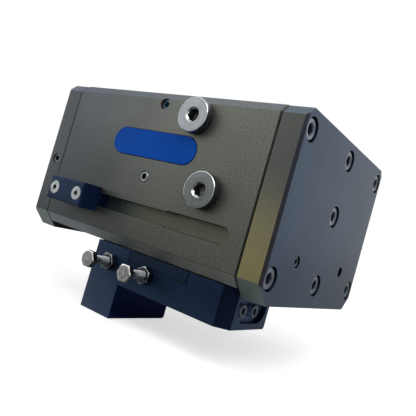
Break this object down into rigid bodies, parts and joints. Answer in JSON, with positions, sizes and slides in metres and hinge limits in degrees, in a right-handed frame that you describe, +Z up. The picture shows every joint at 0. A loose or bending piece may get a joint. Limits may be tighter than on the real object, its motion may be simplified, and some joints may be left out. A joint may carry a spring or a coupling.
{
  "type": "long-stroke parallel gripper",
  "caption": "Pneumatic long-stroke parallel gripper with screwed end covers, base jaws on guide rods synchronised by rack and pinion, an L-shaped finger and a clamped sensor bracket.",
  "frame": {"origin": "centre of the top mounting face, where the gripper bolts to a robot", "axes": "+Z up to the robot, +X along the jaws' stroke, -Y the front face with name plate and ports"},
  "size_m": [0.14, 0.1127, 0.1055],
  "materials": {
    "hard_anodised": "bead blasted, hard anodised",
    "black_anodised": "black anodised, milled",
    "black_steel": "black oxide",
    "plain_aluminium": "turned",
    "nickel_plated": "nickel plated, turned",
    "ground_steel": "hardened and ground",
    "bronze": "turned",
    "seal_rubber": "moulded",
    "blue_plate": "printed aluminium plate",
    "zinc_steel": "zinc plated"
  },
  "bodies": {
    "housing": {"housing": "hard_anodised", "right_cover": "hard_anodised", "left_cover": "hard_anodised", "right_cover_screws": "zinc_steel", "left_cover_screws": "zinc_steel", "cover_seals": "seal_rubber", "cover_passage_screws": "zinc_steel", "stop_screws": "zinc_steel", "name_plate": "blue_plate", "port_plugs": "nickel_plated", "port_seals": "seal_rubber", "vent_screw": "black_steel", "passage_screw": "zinc_steel", "gland_seals": "seal_rubber", "rod_seals": "seal_rubber", "gland_rings": "black_steel", "pinion_axle": "ground_steel", "pinion_washer": "zinc_steel", "pinion_clip": "black_steel", "front_guide_rods": "ground_steel", "rear_guide_rods": "ground_steel", "front_rod_gland": "plain_aluminium", "rear_rod_gland": "plain_aluminium"},
    "front_jaw": {"front_base_jaw": "black_steel", "front_guide_bushes": "bronze", "front_rack": "black_steel", "front_rack_screws": "zinc_steel", "front_piston": "plain_aluminium", "front_piston_seals": "seal_rubber", "front_piston_nut": "zinc_steel", "front_piston_rod": "ground_steel", "front_rod_nut": "zinc_steel", "front_driver": "black_steel", "front_driver_screws": "zinc_steel", "gripper_finger": "black_anodised", "finger_screws": "zinc_steel", "finger_end_screws": "zinc_steel", "finger_bolts": "zinc_steel", "finger_lock_nuts": "zinc_steel"},
    "rear_jaw": {"rear_base_jaw": "black_steel", "rear_guide_bushes": "bronze", "rear_rack": "black_steel", "rear_rack_screws": "zinc_steel", "rear_piston": "plain_aluminium", "rear_piston_seals": "seal_rubber", "rear_piston_nut": "zinc_steel", "rear_piston_rod": "ground_steel", "rear_rod_nut": "zinc_steel", "rear_driver": "black_steel", "rear_driver_screws": "zinc_steel"},
    "pinion": {"pinion": "black_steel", "pinion_bush": "bronze"},
    "bracket": {"sensor_bracket": "black_anodised", "bracket_screws": "zinc_steel", "clamp_strip": "black_steel"}
  },
  "joints": [
    {"name": "front_jaw_slide", "type": "slide", "parent": "housing", "child": "front_jaw", "axis": [-1, 0, 0], "range_m": [0, 0.035]},
    {"name": "rear_jaw_slide", "type": "slide", "parent": "housing", "child": "rear_jaw", "axis": [1, 0, 0], "range_m": [0, 0.035]},
    {"name": "pinion_turn", "type": "hinge", "parent": "housing", "child": "pinion", "pos_m": [0, 0, -0.053], "axis": [0, 0, -1], "range_deg": [0, 250.7]},
    {"name": "bracket_slide", "type": "slide", "parent": "housing", "child": "bracket", "axis": [1, 0, 0], "range_m": [0, 0.039]}
  ],
  "couplings": [
    {"joint": "rear_jaw_slide", "follows": "front_jaw_slide", "ratio": 1},
    {"joint": "pinion_turn", "follows": "front_jaw_slide", "rad_per_m": 125}
  ]
}
